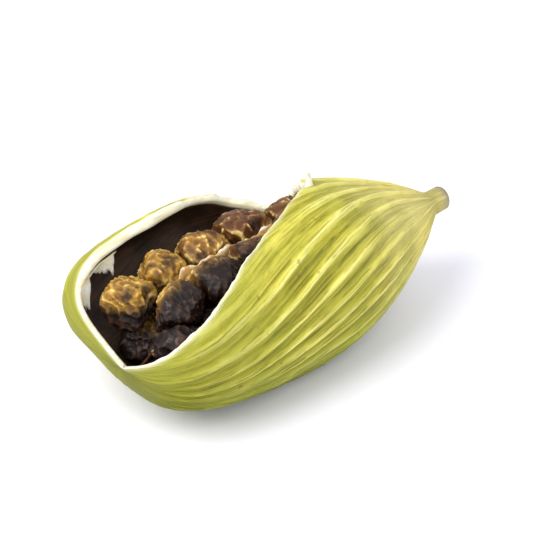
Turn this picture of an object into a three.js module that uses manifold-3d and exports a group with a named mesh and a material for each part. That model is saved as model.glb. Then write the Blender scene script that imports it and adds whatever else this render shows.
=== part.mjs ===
// A green cardamom pod, cut open along its upper side, its far side bent outwards so that its seeds show.
// Millimetres, +Z up. +X runs along the pod to its stalk, -Y is its near side. It lies on a small flat spot.
import * as THREE from 'three';
import { mergeVertices } from 'three/addons/utils/BufferGeometryUtils.js';
import Module from 'manifold-3d';

const wasm = await Module();
wasm.setup();

// Driving dimensions of the husk
const LENGTH = 20;
const RADIUS = 4.12;
const WALL = 0.55;
const STALK_RADIUS = 0.58;
const RIBS = 27;
const RIB_HEIGHT = 0.2;
const FLAT_SPOT_DEPTH = 0.3;

// Shape of the husk: shares of its length are 0 at the stalk and 1 at the blossom end
const WIDEST = 0.5;
const NEAR_BLUNTNESS = 3.6;
const FAR_BLUNTNESS = 4.4;
const TOP_BLUNTNESS = 4;
const BELLY_BLUNTNESS = 2.1;
const LOBE = 0.03;
const NEAR_NARROWING = 0.08;
const NARROWING_START = 0.05;
const NARROWING_FULL = 0.5;
const SKIN_END = 0.999;
const CAVITY_START = 0.1;
const CAVITY_END = 0.965;

// The far side, bent outwards where the pod was opened, most of all above its belly
const FAR_SPLAY = 0.62;
const SPLAY_START = 0.3;
const SPLAY_FULL = 0.62;
const SPLAY_LOW = -0.8;
const SPLAY_HIGH = 0.4;
const FAR_FLARE = 0.5;
const FLARE_START = 0.35;
const FLARE_FULL = 0.7;

// The ribs, which gather on the low near side of the blossom end
const RIB_SHARPNESS = 2;
const RIB_START = 0.02;
const RIB_FULL = 0.2;
const RIB_FADING = 0.9;
const RIB_GATHERING = 1;
const GATHERING_START = 0.15;
const GATHERING_ANGLE = 240;

// The three chambers and the membranes between them, as angles round the pod: 0 is far, 90 is up
const CHAMBERS = { far: 5, near: 125, below: -115 };
const TOP_MEMBRANE = 65;
const CHAMBER_SPAN = 120;
const MEMBRANES = [TOP_MEMBRANE, TOP_MEMBRANE + CHAMBER_SPAN, TOP_MEMBRANE - CHAMBER_SPAN];
const MEMBRANE_THICKNESS = 0.32;
const MEMBRANE_HEIGHT = 1.5 * RADIUS;
const MEMBRANE_END = 0.945;

// The opening's edges: at each share of the length, the angles of its far and near edge
const OPENING = [
  [0.33, 20, 24],
  [0.36, 15, 60],
  [0.43, 17, 81],
  [0.5, 24, 90],
  [0.6, 30, 101],
  [0.7, 33, 113],
  [0.85, 31, 133],
  [1, 24, 150],
];
const OPENING_START = OPENING[0][0];
const OPENING_END = 1.1;
const LIP_HEIGHT = 0.1;
const CREST_SHARE = 0.8;
const CREST_END = 0.9;

// The seeds
const SEED_LENGTH = 2.85;
const SEED_THICKNESS = 2.6;
const SEED_GAP = 0.25;
const SEED_SCATTER = 0.14;
const SEED_STATIONS = 6;
const SEED_FIRST = 0.24;
const SEED_LAST = 0.88;
const SEED_ROW_ANGLE = 29;
const SEED_DEPTH = 0.58;
const SEED_LEAST = 0.75;
const STRAND_RADIUS = 0.6;
const STRAND_DEPTH = 0.4;
const SEED_STAGGER = 0.05;
const SEED_TURN = 0.3;
const SEED_SIZE_SPREAD = 0.06;
const FIRST_DRAW = 7;
const DRAW_FACTOR = 16807;
const DRAW_MODULUS = 2147483647;

// Fineness of the faces
const SKIN_STATIONS = 30;
const FACES_PER_RIB = 4;
const LINING_STATIONS = 14;
const LINING_FACES = 36;
const OPENING_STEPS = 24;
const OPENING_ACROSS = 8;
const SETTLING_STEPS = 12;
const END_CROWDING = 0.75;
const STRAND_SIDES = 6;

const FAR_OUT = 3 * RADIUS;
const { clamp, degToRad, lerp, smoothstep } = THREE.MathUtils;

const alongPod = (share) => LENGTH * (0.5 - share);

function halfWidth(share, bluntness) {
  const stalk = STALK_RADIUS / RADIUS;
  if (share < WIDEST) {
    return Math.max(Math.sin((Math.PI / 2) * (share / WIDEST)), stalk);
  }
  const k = Math.min((share - WIDEST) / (1 - WIDEST), 1);
  return (1 - k ** bluntness) ** (1 / bluntness);
}

// How far round the pod a line has come that leaves the stalk at a given angle and gathers with the ribs
function gathered(share, start) {
  const middle = degToRad(GATHERING_ANGLE);
  const drawn = Math.exp(-RIB_GATHERING * smoothstep(share, GATHERING_START, 1));
  return middle + 2 * Math.atan(Math.tan((start - middle) / 2) * drawn);
}

// Narrow crests with wide shallow grooves between them, fading out at both ends
function ribHeight(share, start) {
  const crest = (0.5 + 0.5 * Math.cos(RIBS * start)) ** RIB_SHARPNESS;
  const fade = smoothstep(share, RIB_START, RIB_FULL) * (1 - smoothstep(share, RIB_FADING, 1));
  return RIB_HEIGHT * crest * fade;
}

// A point of the pod's section, inset below the smooth skin or raised above it
function podPoint(share, angle, raised) {
  const lobe = RADIUS * (1 + LOBE * Math.cos(3 * (angle - degToRad(CHAMBERS.far))));
  const isFar = Math.cos(angle) > 0;
  const isTop = Math.sin(angle) > 0;
  const lean = smoothstep(Math.sin(angle), SPLAY_LOW, SPLAY_HIGH);
  const splay = 1 + FAR_SPLAY * smoothstep(share, SPLAY_START, SPLAY_FULL) * lean;
  const narrowing = 1 - NEAR_NARROWING * smoothstep(share, NARROWING_START, NARROWING_FULL);
  const side = halfWidth(share, isFar ? FAR_BLUNTNESS : NEAR_BLUNTNESS) * (isFar ? splay : narrowing);
  const wide = Math.max(lobe * side + raised, 0);
  const deep = Math.max(lobe * halfWidth(share, isTop ? TOP_BLUNTNESS : BELLY_BLUNTNESS) + raised, 0);
  const z = deep * Math.sin(angle);
  const flare = FAR_FLARE * smoothstep(share, FLARE_START, FLARE_FULL) * clamp(z / RADIUS, 0, 1) ** 2;
  return new THREE.Vector3(alongPod(share), wide * Math.cos(angle) + flare, z);
}

const openingShares = OPENING.map(([share]) => share);
const openingAngles = OPENING.flatMap(([, far, near]) => [far, near]);
const openingCurve = new THREE.CubicInterpolant(openingShares, openingAngles, 2);

// Where the opening's two edges lie, as angles round the pod
function openingEdges(share) {
  const [far, near] = openingCurve.evaluate(clamp(share, OPENING_START, 1));
  return { near: degToRad(near), far: degToRad(far) };
}

// How far the lining is from the pod's axis, straight out at an angle
function liningReach(share, angle) {
  const lining = new THREE.Vector3();
  let turn = angle;
  for (let i = 0; i < SETTLING_STEPS; i += 1) {
    lining.copy(podPoint(share, turn, -WALL));
    turn += angle - Math.atan2(lining.z, lining.y);
  }
  return Math.hypot(lining.y, lining.z);
}

// How far from the pod's axis the opening reaches down: below the lining, so that only the membrane is left
function openingFloor(share, angle) {
  const crest = CREST_SHARE * liningReach(Math.min(share, CREST_END), angle);
  return lerp(crest, LIP_HEIGHT, smoothstep(share, CREST_END, CAVITY_END));
}

function solidOf(geometry) {
  geometry.deleteAttribute('normal');
  geometry.deleteAttribute('uv');
  const merged = mergeVertices(geometry);
  const vertProperties = new Float32Array(merged.attributes.position.array);
  const triVerts = new Uint32Array(merged.index.array);
  return new wasm.Manifold(new wasm.Mesh({ numProp: 3, vertProperties, triVerts }));
}

function geometryOf(solid) {
  const mesh = solid.getMesh();
  const geometry = new THREE.BufferGeometry();
  geometry.setAttribute('position', new THREE.BufferAttribute(mesh.vertProperties, 3));
  geometry.setIndex(new THREE.BufferAttribute(mesh.triVerts, 1));
  geometry.computeVertexNormals();
  return geometry;
}

// A closed body turned on a lathe, then pushed out to the pod's own section at every station
function podBody(first, last, stations, faces, pointAt) {
  const profile = [new THREE.Vector2(0, first)];
  for (let i = 0; i <= stations; i += 1) {
    const even = i / stations;
    const crowded = even - (END_CROWDING * Math.sin(2 * Math.PI * even)) / (2 * Math.PI);
    profile.push(new THREE.Vector2(1, first + (last - first) * crowded));
  }
  profile.push(new THREE.Vector2(0, last));
  const geometry = new THREE.LatheGeometry(profile, faces);
  const position = geometry.attributes.position;
  for (let i = 0; i < position.count; i += 1) {
    const share = position.getY(i);
    const angle = Math.atan2(position.getZ(i), position.getX(i));
    const onAxis = Math.hypot(position.getX(i), position.getZ(i)) < 0.5;
    const point = pointAt(share, angle);
    position.setXYZ(i, point.x, onAxis ? 0 : point.y, onAxis ? 0 : point.z);
  }
  return solidOf(geometry);
}

const skinPoint = (share, start) => podPoint(share, gathered(share, start), ribHeight(share, start));
const skin = () => podBody(0, SKIN_END, SKIN_STATIONS, RIBS * FACES_PER_RIB, skinPoint);

function cavity(inset) {
  const liningPoint = (share, angle) => podPoint(share, angle, -inset);
  return podBody(CAVITY_START, CAVITY_END, LINING_STATIONS, LINING_FACES, liningPoint);
}

// What was cut away: a block between the two edges, square to the wall all round
function openingBlock() {
  const geometry = new THREE.BoxGeometry(1, 1, 1, OPENING_STEPS, OPENING_ACROSS, 1);
  const position = geometry.attributes.position;
  for (let i = 0; i < position.count; i += 1) {
    const share = lerp(OPENING_END, OPENING_START, position.getX(i) + 0.5);
    const edges = openingEdges(share);
    const angle = lerp(edges.near, edges.far, position.getY(i) + 0.5);
    const reach = position.getZ(i) > 0 ? FAR_OUT : openingFloor(share, angle);
    position.setXYZ(i, alongPod(share), reach * Math.cos(angle), reach * Math.sin(angle));
  }
  return solidOf(geometry);
}

function membrane(angle) {
  const length = LENGTH * MEMBRANE_END;
  const geometry = new THREE.BoxGeometry(length, MEMBRANE_THICKNESS, MEMBRANE_HEIGHT);
  geometry.translate((LENGTH - length) / 2, 0, MEMBRANE_HEIGHT / 2);
  geometry.rotateX(degToRad(angle - 90));
  return solidOf(geometry);
}

function flatSpotBlock(bottom) {
  const geometry = new THREE.BoxGeometry(2 * LENGTH, FAR_OUT, FAR_OUT);
  geometry.translate(0, 0, bottom - FAR_OUT / 2);
  return solidOf(geometry);
}

function husk() {
  const outside = skin();
  const bottom = outside.boundingBox().min[2] + FLAT_SPOT_DEPTH;
  let inside = cavity(WALL);
  for (const angle of MEMBRANES) {
    inside = inside.subtract(membrane(angle));
  }
  return outside.subtract(inside).subtract(openingBlock()).subtract(flatSpotBlock(bottom));
}

// The room that one chamber leaves for its seeds, clear of the lining and of the membranes
function chamberRoom(angle) {
  const clear = MEMBRANE_THICKNESS / 2 + SEED_GAP;
  const half = degToRad(CHAMBER_SPAN / 2);
  const middle = degToRad(angle);
  const corner = (turn) => new THREE.Vector2(Math.cos(middle + turn), Math.sin(middle + turn));
  const apex = corner(0).multiplyScalar(clear / Math.sin(half));
  const points = [apex];
  for (const turn of [-half, 0, half]) {
    points.push(corner(turn).multiplyScalar(FAR_OUT).add(apex));
  }
  const length = LENGTH * (MEMBRANE_END - CAVITY_START);
  const geometry = new THREE.ExtrudeGeometry(new THREE.Shape(points), { depth: length, bevelEnabled: false });
  geometry.rotateX(Math.PI / 2);
  geometry.rotateZ(Math.PI / 2);
  geometry.translate(alongPod(MEMBRANE_END), 0, 0);
  return cavity(WALL + SEED_GAP).intersect(solidOf(geometry));
}

// Repeatable draws between -1 and 1
function drawer(start) {
  let state = start;
  return () => {
    state = (state * DRAW_FACTOR) % DRAW_MODULUS;
    return (2 * state) / DRAW_MODULUS - 1;
  };
}

// An angular seed: a ball of flat faces, squeezed, turned and dented by its neighbours
function seed(center, size, draw) {
  const geometry = new THREE.IcosahedronGeometry(0.5, 1);
  geometry.deleteAttribute('normal');
  geometry.deleteAttribute('uv');
  const ball = mergeVertices(geometry);
  const position = ball.attributes.position;
  for (let i = 0; i < position.count; i += 1) {
    const dent = 1 + SEED_SCATTER * draw();
    position.setXYZ(i, position.getX(i) * dent, position.getY(i) * dent, position.getZ(i) * dent);
  }
  ball.rotateX(Math.PI * draw());
  ball.scale(SEED_LENGTH * size, SEED_THICKNESS * size, SEED_THICKNESS * size);
  ball.rotateZ(SEED_TURN * draw());
  ball.translate(center.x, center.y, center.z);
  return solidOf(ball);
}

// Seeds in a double row round the strand that carries them
function seedBunch(angle, draw) {
  const middle = degToRad(angle);
  const firstX = alongPod(SEED_FIRST);
  const lastX = alongPod(SEED_LAST);
  const strand = new THREE.CylinderGeometry(STRAND_RADIUS, STRAND_RADIUS, firstX - lastX, STRAND_SIDES);
  strand.rotateZ(Math.PI / 2);
  const depth = STRAND_DEPTH * liningReach(WIDEST, middle);
  strand.translate((firstX + lastX) / 2, depth * Math.cos(middle), depth * Math.sin(middle));
  let bunch = solidOf(strand);
  for (let i = 0; i < SEED_STATIONS; i += 1) {
    for (const row of [-1, 1]) {
      const even = clamp(i / (SEED_STATIONS - 1) + SEED_STAGGER * row, 0, 1);
      const share = SEED_FIRST + (SEED_LAST - SEED_FIRST) * even;
      const turned = middle + degToRad(SEED_ROW_ANGLE) * row;
      const size = clamp(halfWidth(share, BELLY_BLUNTNESS), SEED_LEAST, 1) * (1 + SEED_SIZE_SPREAD * draw());
      const out = SEED_DEPTH * liningReach(share, turned);
      const center = new THREE.Vector3(alongPod(share), out * Math.cos(turned), out * Math.sin(turned));
      bunch = bunch.add(seed(center, size, draw));
    }
  }
  return bunch.intersect(chamberRoom(angle));
}

const finish = (color, roughness) => new THREE.MeshStandardMaterial({ color, roughness, metalness: 0 });

function named(name, solid, material) {
  const mesh = new THREE.Mesh(geometryOf(solid), material);
  mesh.name = name;
  return mesh;
}

const pod = new THREE.Group();
pod.add(named('husk', husk(), finish(0xaaa84a, 0.75)));
const draw = drawer(FIRST_DRAW);
for (const [side, angle] of Object.entries(CHAMBERS)) {
  pod.add(named(`seeds_${side}`, seedBunch(angle, draw), finish(0x3a2114, 0.6)));
}

// The origin is under the middle of the pod, on the surface that it lies on
const box = new THREE.Box3().setFromObject(pod);
const center = box.getCenter(new THREE.Vector3());
pod.position.set(-center.x, -center.y, -box.min.z);

export default pod;
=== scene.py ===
import math

import bmesh
import bpy
import numpy as np
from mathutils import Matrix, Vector


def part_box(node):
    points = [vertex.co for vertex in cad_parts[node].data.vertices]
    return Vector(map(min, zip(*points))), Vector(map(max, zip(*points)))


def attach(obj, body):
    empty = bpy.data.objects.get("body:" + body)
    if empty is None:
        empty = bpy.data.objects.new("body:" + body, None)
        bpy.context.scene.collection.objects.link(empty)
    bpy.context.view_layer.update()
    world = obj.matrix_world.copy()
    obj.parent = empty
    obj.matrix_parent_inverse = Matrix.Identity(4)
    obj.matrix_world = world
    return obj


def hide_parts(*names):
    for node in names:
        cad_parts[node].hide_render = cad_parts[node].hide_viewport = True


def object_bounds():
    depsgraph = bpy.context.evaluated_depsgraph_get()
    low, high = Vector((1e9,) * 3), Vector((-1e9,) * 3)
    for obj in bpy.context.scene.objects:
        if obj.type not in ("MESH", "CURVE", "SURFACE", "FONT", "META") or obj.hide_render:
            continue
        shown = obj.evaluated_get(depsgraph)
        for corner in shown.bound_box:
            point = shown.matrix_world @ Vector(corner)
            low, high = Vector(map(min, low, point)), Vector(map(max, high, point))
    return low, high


# A green cardamom pod that lies on a pale floor, opened at its blossom end: husk, membranes and seeds
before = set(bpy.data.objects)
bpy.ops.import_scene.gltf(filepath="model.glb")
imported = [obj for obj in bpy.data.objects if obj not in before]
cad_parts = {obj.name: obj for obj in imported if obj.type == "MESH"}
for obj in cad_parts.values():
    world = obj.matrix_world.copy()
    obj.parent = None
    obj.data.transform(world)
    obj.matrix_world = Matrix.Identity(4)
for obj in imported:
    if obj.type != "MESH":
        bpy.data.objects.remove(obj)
cad_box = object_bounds()

MM = 0.001

# Starts of the random draws
SKIN_DRAW = 21
OPENING_DRAW = 5
RIM_DRAW = 9
MEMBRANE_DRAW = 31
SPUR_DRAW = 17
SCRAP_DRAW = 43
SEED_DRAW = 11

# Shape of the pod in millimetres, as in the part: shares run from 0 at the stalk to 1 at the blossom end
RADIUS = 4.12
WALL = 0.55
STALK_RADIUS = 0.58
FLAT_SPOT_DEPTH = 0.3
WIDEST = 0.5
NEAR_BLUNTNESS = 3.6
FAR_BLUNTNESS = 4.4
TOP_BLUNTNESS = 4
BELLY_BLUNTNESS = 2.1
LOBE = 0.03
NEAR_NARROWING = 0.08
NARROWING_START = 0.05
NARROWING_FULL = 0.5
CAVITY_START = 0.1
LAST_SECTION = 0.9995
SETTLING_STEPS = 24

# The far side, bent outwards where the pod was opened
FAR_SPLAY = 0.62
SPLAY_START = 0.3
SPLAY_FULL = 0.62
SPLAY_LOW = -0.8
SPLAY_HIGH = 0.4
FAR_FLARE = 0.5
FLARE_START = 0.35
FLARE_FULL = 0.7

# The ribs, which gather on the low near side of the blossom end
RIBS = 27
RIB_HEIGHT = 0.2
LESSER_RIB = 0.6
LESSER_SPREAD = (0.95, 1.6)
RIB_SHARPNESS = 3
PALE_SHARPNESS = 2.4
RIB_STRENGTH = (0.6, 1.15)
RIB_FADE_IN = (0.0, 0.16)
RIB_FADE_OUT = (0.91, 0.998)
SLOW_WANDER = 0.01
QUICK_WANDER = 0.006
VEIN_HEIGHT = 0.03
VEIN_ROUNDING = 0.3
WRINKLE_HEIGHT = 0.008
LUMP_HEIGHT = 0.03
LUMP_START = (0.05, 0.2)
RIB_GATHERING = 1
GATHERING_START = 0.15
GATHERING_ANGLE = math.radians(240)

# The opening's edges: at each share, the angles of the far and the near edge, where 0 is far and 90 up
OPENING = np.array([
    [0.33, 22, 22],
    [0.36, 15, 60],
    [0.43, 17, 81],
    [0.5, 24, 90],
    [0.6, 30, 101],
    [0.7, 33, 113],
    [0.85, 31, 133],
    [1, 24, 150],
])
OPENING_START = OPENING[0, 0]
EDGE_WANDER = 0.8
EDGE_FRAYING = 0.15
EDGE_SETTLING = 0.06
CREST_SHARE = 0.8
CREST_END = 0.9
CREST_SINKING = 0.75
CHAMBERS = {"far": 5, "near": 125, "below": -115}
TOP_MEMBRANE = 65
MEMBRANES = (TOP_MEMBRANE, TOP_MEMBRANE - 240, TOP_MEMBRANE - 120)
MEMBRANE_END = 0.915

# The seeds
SEED_LENGTH = 2.85
SEED_THICKNESS = 2.6
SEED_STATIONS = 6
SEED_FIRST = 0.24
SEED_LAST = 0.88
SEED_STAGGER = 0.05
SEED_ROW_ANGLE = 29
SEED_DEPTH = 0.58
SEED_LEAST = 0.75

# Camera at the photograph's viewing angle, with a long lens
CAMERA_AZIMUTH = math.radians(-43)
CAMERA_ELEVATION = math.radians(35)
CAMERA_LENS = 250
CAMERA_SENSOR = 36
FRAME_WIDTH = 24.5 * MM

# The floor and the studio's light
FLOOR_HALF = 1.0
KEY_COLOUR = (1.0, 0.99, 0.97)
FILL_COLOUR = (1.0, 0.99, 0.96)
SKY_COLOUR = (0.92, 0.95, 1, 1)
SKY_STRENGTH = 0.78

husk_low, husk_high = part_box("husk")
LENGTH = (husk_high.x - husk_low.x) / MM


def smoothstep(low, high, value):
    t = np.clip((value - low) / (high - low), 0, 1)
    return t * t * (3 - 2 * t)


def half_width(share, bluntness):
    """Half the pod's width or depth at a share of its length, against its radius."""
    stalk = np.maximum(np.sin(0.5 * np.pi * np.minimum(share / WIDEST, 1)), STALK_RADIUS / RADIUS)
    k = np.clip((share - WIDEST) / (1 - WIDEST), 0, 1)
    return np.where(share < WIDEST, stalk, (1 - k**bluntness) ** (1 / bluntness))


def section(share, angle):
    """The section's half width and half depth towards an angle, against the pod's radius."""
    lean = smoothstep(SPLAY_LOW, SPLAY_HIGH, np.sin(angle))
    splay = 1 + FAR_SPLAY * smoothstep(SPLAY_START, SPLAY_FULL, share) * lean
    narrowing = 1 - NEAR_NARROWING * smoothstep(NARROWING_START, NARROWING_FULL, share)
    far = half_width(share, FAR_BLUNTNESS) * splay
    near = half_width(share, NEAR_BLUNTNESS) * narrowing
    wide = np.where(np.cos(angle) > 0, far, near)
    deep = np.where(np.sin(angle) > 0, half_width(share, TOP_BLUNTNESS), half_width(share, BELLY_BLUNTNESS))
    return wide, deep


def pod_point(share, angle, raised):
    """A point of the pod in millimetres about the middle of its axis, raised above the smooth skin."""
    lobe = RADIUS * (1 + LOBE * np.cos(3 * (angle - math.radians(CHAMBERS["far"]))))
    wide, deep = section(share, angle)
    y = np.maximum(lobe * wide + raised, 0) * np.cos(angle)
    z = np.maximum(lobe * deep + raised, 0) * np.sin(angle)
    flare = FAR_FLARE * smoothstep(FLARE_START, FLARE_FULL, share) * np.clip(z / RADIUS, 0, 1) ** 2
    x = LENGTH * (0.5 - share) + 0 * z
    return np.stack([x, y + flare, z], -1)


def section_angle(share, polar, raised):
    """The section's own angle whose point lies straight out from the pod's axis at a true angle."""
    share = np.minimum(share, LAST_SECTION)
    angle = polar + 0 * share
    for _ in range(SETTLING_STEPS):
        point = pod_point(share, angle, raised)
        miss = polar - np.arctan2(point[..., 2], point[..., 1])
        angle = angle + np.mod(miss + np.pi, 2 * np.pi) - np.pi
    return angle


def lining_reach(share, polar):
    """How far the lining is from the pod's axis, straight out at a true angle."""
    point = pod_point(share, section_angle(share, polar, -WALL), -WALL)
    return np.linalg.norm(point[..., 1:], axis=-1)


def gathered(share, start):
    """How far round the pod a line has come that leaves the stalk at an angle and gathers with the ribs."""
    drawn = np.exp(-RIB_GATHERING * smoothstep(GATHERING_START, 1, share))
    return GATHERING_ANGLE + 2 * np.arctan(np.tan((start - GATHERING_ANGLE) / 2) * drawn)


def rib_start(share, angle):
    """The angle at the stalk of the rib line through a point: the way back from gathered."""
    drawn = np.exp(RIB_GATHERING * smoothstep(GATHERING_START, 1, share))
    return GATHERING_ANGLE + 2 * np.arctan(np.tan((angle - GATHERING_ANGLE) / 2) * drawn)


def rib_spread(share, start):
    """How far apart the ribs lie at a point, against their spacing by the stalk."""
    drawn = np.exp(-RIB_GATHERING * smoothstep(GATHERING_START, 1, share))
    tangent = np.tan((start - GATHERING_ANGLE) / 2) ** 2
    return drawn * (1 + tangent) / (1 + drawn**2 * tangent)


def waves(share, angle, draw, count, round_range, along_range):
    """Smooth unevenness over the skin, about -1 to 1, that meets itself round the pod."""
    total = 0 * share * angle
    for _ in range(count):
        turns = draw.integers(*round_range)
        along = draw.uniform(*along_range) * draw.choice((-1, 1))
        total = total + np.sin(turns * angle + along * share + draw.uniform(0, 2 * np.pi))
    return total / math.sqrt(count)


def rib_crest(share, angle, draw):
    """Ribs from 0 in the grooves to 1 on the crests, which wander a little, and the strength of each."""
    slow = SLOW_WANDER * np.sin(2 * angle + 9 * share + 1.3)
    quick = QUICK_WANDER * np.sin(5 * angle - 17 * share)
    turned = angle + (slow + quick)
    strength = draw.uniform(*RIB_STRENGTH, RIBS)
    which = np.mod(np.rint(turned * RIBS / (2 * np.pi)), RIBS).astype(int)
    return 0.5 + 0.5 * np.cos(RIBS * turned), strength[which]


def rib_fade(share):
    """How far the ribs have risen from the stalk, and sunk again at the blossom end."""
    return smoothstep(*RIB_FADE_IN, share) * (1 - smoothstep(*RIB_FADE_OUT, share))


def skin_relief(share, angle):
    """Height of the skin's ribs, fine veins and shrunken wrinkles in millimetres, and how pale they are."""
    draw = np.random.default_rng(SKIN_DRAW)
    crest, strength = rib_crest(share, angle, draw)
    lumps = waves(share, angle, draw, 9, (2, 7), (4, 22))
    veins = 1.3 - 2 * np.hypot(waves(share, angle, draw, 3, (24, 44), (2, 12)), VEIN_ROUNDING)
    veins = np.clip(veins, -1, 1)
    wrinkles = waves(share, angle, draw, 9, (3, 26), (60, 150))
    fade = rib_fade(share)
    spread = rib_spread(share, angle)
    lesser = smoothstep(*LESSER_SPREAD, spread) * (1 - crest) ** RIB_SHARPNESS
    room = np.clip(1.5 * spread, 0.5, 1)
    ribs = RIB_HEIGHT * room * (crest**RIB_SHARPNESS * strength + LESSER_RIB * lesser)
    relief = fade * (ribs + VEIN_HEIGHT * np.clip(spread, 0.6, 1.6) * veins + WRINKLE_HEIGHT * wrinkles)
    relief = relief + LUMP_HEIGHT * smoothstep(*LUMP_START, share) * lumps
    pale = crest**PALE_SHARPNESS * (0.7 + 0.3 * strength) + 0.8 * lesser**1.3 + 0.22 * veins
    return relief, np.clip(pale, 0, 1) * fade


def through_rows(share, column):
    """A smooth curve through one column of the opening's rows."""
    rows, values = OPENING[:, 0], OPENING[:, column]
    slopes = np.gradient(values, rows)
    i = np.clip(np.searchsorted(rows, share) - 1, 0, len(rows) - 2)
    span = rows[i + 1] - rows[i]
    t = np.clip((share - rows[i]) / span, 0, 1)
    bend = (t**3 - 2 * t**2 + t) * span * slopes[i] + (t**3 - t**2) * span * slopes[i + 1]
    return values[i] + (values[i + 1] - values[i]) * (3 * t**2 - 2 * t**3) + bend


def ragged_line(places, draw, rates):
    """An uneven line, about -1 to 1, with bumps at several rates."""
    total = 0
    for rate in rates:
        total = total + draw.uniform(0.4, 1) * np.sin(rate * places + draw.uniform(0, 6))
    return total / len(rates) ** 0.5


def opening_edges(share):
    """The opening's far and near edges as angles of the pod's own section, a little ragged."""
    draw = np.random.default_rng(OPENING_DRAW)
    edges = []
    for column in (1, 2):
        ragged = EDGE_WANDER * ragged_line(share, draw, (23, 61))
        ragged = ragged + EDGE_FRAYING * ragged_line(share, draw, (140, 260, 390))
        ragged = ragged * smoothstep(OPENING_START, OPENING_START + EDGE_SETTLING, share)
        edges.append(section_angle(share, np.radians(through_rows(share, column) + ragged), 0))
    return edges[0], np.maximum(edges[1], edges[0])


def axis_place():
    """Where the pod's axis lies: the box of the solid's formula is set on the husk's own box."""
    shares = np.linspace(0, 0.999, 200)
    starts = np.radians(np.arange(0, 360, 0.5))
    share, start = np.meshgrid(shares, starts, indexing="ij")
    ribs = RIB_HEIGHT * (0.5 + 0.5 * np.cos(RIBS * start)) ** 2 * smoothstep(0.02, 0.2, share)
    ribs = ribs * (1 - smoothstep(0.9, 1, share))
    skin = pod_point(share, gathered(share, start), ribs)
    return np.array([
        (husk_low.x + husk_high.x) / 2 / MM,
        (husk_low.y + husk_high.y) / 2 / MM - (skin[..., 1].min() + skin[..., 1].max()) / 2,
        husk_low.z / MM - skin[..., 2].min() - FLAT_SPOT_DEPTH,
    ])


AXIS = axis_place()


def mesh_object(name, points, faces, materials, face_materials=None):
    """A smooth mesh from points in millimetres about the pod's axis."""
    mesh = bpy.data.meshes.new(name)
    placed = (np.asarray(points) + AXIS) * MM
    placed[:, 2] = np.maximum(placed[:, 2], 0)
    mesh.from_pydata(placed.tolist(), [], faces)
    for material in materials:
        mesh.materials.append(material)
    if face_materials is not None:
        mesh.polygons.foreach_set("material_index", np.asarray(face_materials, np.int32))
    mesh.polygons.foreach_set("use_smooth", np.ones(len(mesh.polygons), bool))
    mesh.update()
    made = bpy.data.objects.new(name, mesh)
    bpy.context.scene.collection.objects.link(made)
    return made


def set_attribute(piece, name, values):
    """Keeps a number or a vector for each point, which the finishes read by name."""
    values = np.asarray(values, np.float32)
    kind, field = ("FLOAT_VECTOR", "vector") if values.ndim == 2 else ("FLOAT", "value")
    layer = piece.data.attributes.new(name, kind, "POINT")
    layer.data.foreach_set(field, values.ravel())


def as_piece(piece, nodes):
    """Fixes a piece to the pod in place of its solids, which it hides."""
    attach(piece, "root")
    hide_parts(*nodes)
    return piece


def srgb(red, green, blue):
    """A colour from its screen values of 0 to 255, as the linear light that shaders take."""
    def linear(c):
        c /= 255
        return c / 12.92 if c <= 0.04045 else ((c + 0.055) / 1.055) ** 2.4
    return (linear(red), linear(green), linear(blue), 1)


def add(tree, kind, inputs=None, **settings):
    """Adds a node, sets its properties, and sets or links its inputs by name or number."""
    made = tree.nodes.new(kind)
    for key, value in settings.items():
        setattr(made, key, value)
    for key, value in (inputs or {}).items():
        if isinstance(value, bpy.types.NodeSocket):
            tree.links.new(value, made.inputs[key])
        else:
            made.inputs[key].default_value = value
    return made


def mix_colour(tree, mask, first, second):
    """The first colour where a mask is 0 and the second where it is 1."""
    return add(tree, "ShaderNodeMix", {0: mask, 6: first, 7: second}, data_type="RGBA").outputs[2]


def tint(tree, colour, mask, amount, towards):
    """Shifts a colour towards another one by a mask, by so much at most."""
    return mix_colour(tree, maths(tree, "MULTIPLY", mask, amount), colour, towards)


def tone_scale(tree, level, stops):
    """Tones along a level from 0 to 1, from pairs of a place and a colour."""
    made = add(tree, "ShaderNodeValToRGB", {"Fac": level})
    elements = made.color_ramp.elements
    for element, (position, colour) in zip(elements, (stops[0], stops[-1])):
        element.position = position
        element.color = colour
    for position, colour in stops[1:-1]:
        elements.new(position).color = colour
    return made.outputs["Color"]


def ramp(tree, value, low, high, out_low=0.0, out_high=1.0):
    """A smooth rise or fall of a value between two of its levels."""
    made = add(tree, "ShaderNodeMapRange", {
        "Value": value, "From Min": low, "From Max": high, "To Min": out_low, "To Max": out_high,
    }, interpolation_type="SMOOTHSTEP")
    return made.outputs["Result"]


def maths(tree, operation, *values):
    return add(tree, "ShaderNodeMath", dict(enumerate(values)), operation=operation).outputs[0]


def attribute(tree, name):
    return add(tree, "ShaderNodeAttribute", attribute_name=name)


def new_group(name, inputs, outputs):
    """An empty node group with named inputs and values that it puts out."""
    tree = bpy.data.node_groups.new(name, "ShaderNodeTree")
    for label, kind, value in inputs:
        socket = tree.interface.new_socket(label, in_out="INPUT", socket_type=kind)
        if value is not None:
            socket.default_value = value
    for label in outputs:
        tree.interface.new_socket(label, in_out="OUTPUT", socket_type="NodeSocketFloat")
    return tree, tree.nodes.new("NodeGroupInput").outputs, tree.nodes.new("NodeGroupOutput").inputs


def place_group(tree, group, inputs):
    return add(tree, "ShaderNodeGroup", inputs, node_tree=group).outputs


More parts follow.
